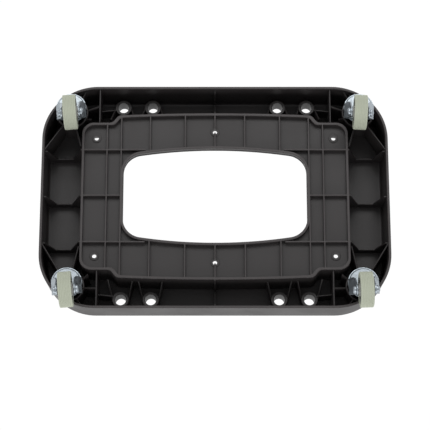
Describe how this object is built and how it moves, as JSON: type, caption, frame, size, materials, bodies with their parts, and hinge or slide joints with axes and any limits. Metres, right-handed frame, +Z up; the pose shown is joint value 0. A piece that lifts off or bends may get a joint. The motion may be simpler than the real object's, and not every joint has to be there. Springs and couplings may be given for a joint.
{
  "type": "plant pot caddy",
  "caption": "Rectangular moulded plant pot caddy with a recessed, ribbed well, a bowed centre opening and swivel castors at the corners.",
  "frame": {"origin": "centre of the bounding box, on the floor under the wheels", "axes": "+Z up; +X along the tray's length, to the right; -Y is the front, the side the castors trail to"},
  "size_m": [0.4, 0.2743, 0.097],
  "materials": {
    "moulded_tray": "fine satin mould texture",
    "dark_plastic": "satin",
    "zinc_steel": "bright zinc plated",
    "ball_steel": "polished",
    "wheel_core_plastic": "satin",
    "bush_plastic": "smooth",
    "tyre_rubber": "soft non-marking rubber"
  },
  "bodies": {
    "tray": {"tray": "moulded_tray", "socket_sleeve_rear_right": "dark_plastic", "stem_rear_right": "zinc_steel", "swivel_cup_rear_right": "zinc_steel", "socket_sleeve_front_right": "dark_plastic", "stem_front_right": "zinc_steel", "swivel_cup_front_right": "zinc_steel", "socket_sleeve_rear_left": "dark_plastic", "stem_rear_left": "zinc_steel", "swivel_cup_rear_left": "zinc_steel", "socket_sleeve_front_left": "dark_plastic", "stem_front_left": "zinc_steel", "swivel_cup_front_left": "zinc_steel"},
    "swivel_rear_right": {"fork_rear_right": "zinc_steel", "ball_race_rear_right": "ball_steel", "axle_rear_right": "zinc_steel", "axle_cap_rear_right": "zinc_steel"},
    "wheel_rear_right": {"wheel_core_rear_right": "wheel_core_plastic", "tyre_rear_right": "tyre_rubber", "bush_rear_right": "bush_plastic"},
    "swivel_front_right": {"fork_front_right": "zinc_steel", "ball_race_front_right": "ball_steel", "axle_front_right": "zinc_steel", "axle_cap_front_right": "zinc_steel"},
    "wheel_front_right": {"wheel_core_front_right": "wheel_core_plastic", "tyre_front_right": "tyre_rubber", "bush_front_right": "bush_plastic"},
    "swivel_rear_left": {"fork_rear_left": "zinc_steel", "ball_race_rear_left": "ball_steel", "axle_rear_left": "zinc_steel", "axle_cap_rear_left": "zinc_steel"},
    "wheel_rear_left": {"wheel_core_rear_left": "wheel_core_plastic", "tyre_rear_left": "tyre_rubber", "bush_rear_left": "bush_plastic"},
    "swivel_front_left": {"fork_front_left": "zinc_steel", "ball_race_front_left": "ball_steel", "axle_front_left": "zinc_steel", "axle_cap_front_left": "zinc_steel"},
    "wheel_front_left": {"wheel_core_front_left": "wheel_core_plastic", "tyre_front_left": "tyre_rubber", "bush_front_left": "bush_plastic"}
  },
  "joints": [
    {"name": "swivel_rear_right", "type": "hinge", "parent": "tray", "child": "swivel_rear_right", "pos_m": [0.167, 0.1085, 0.0445], "axis": [0, 0, 1], "continuous": true},
    {"name": "roll_rear_right", "type": "hinge", "parent": "swivel_rear_right", "child": "wheel_rear_right", "pos_m": [0.1657, 0.09305, 0.02], "axis": [0.9965, -0.0837, 0], "continuous": true},
    {"name": "swivel_front_right", "type": "hinge", "parent": "tray", "child": "swivel_front_right", "pos_m": [0.167, -0.1015, 0.0445], "axis": [0, 0, 1], "continuous": true},
    {"name": "roll_front_right", "type": "hinge", "parent": "swivel_front_right", "child": "wheel_front_right", "pos_m": [0.1657, -0.11695, 0.02], "axis": [0.9965, -0.0837, 0], "continuous": true},
    {"name": "swivel_rear_left", "type": "hinge", "parent": "tray", "child": "swivel_rear_left", "pos_m": [-0.167, 0.1085, 0.0445], "axis": [0, 0, 1], "continuous": true},
    {"name": "roll_rear_left", "type": "hinge", "parent": "swivel_rear_left", "child": "wheel_rear_left", "pos_m": [-0.16619, 0.09302, 0.02], "axis": [0.9986, 0.0523, 0], "continuous": true},
    {"name": "swivel_front_left", "type": "hinge", "parent": "tray", "child": "swivel_front_left", "pos_m": [-0.167, -0.1015, 0.0445], "axis": [0, 0, 1], "continuous": true},
    {"name": "roll_front_left", "type": "hinge", "parent": "swivel_front_left", "child": "wheel_front_left", "pos_m": [-0.16754, -0.11699, 0.02], "axis": [0.9994, -0.0349, 0], "continuous": true}
  ]
}
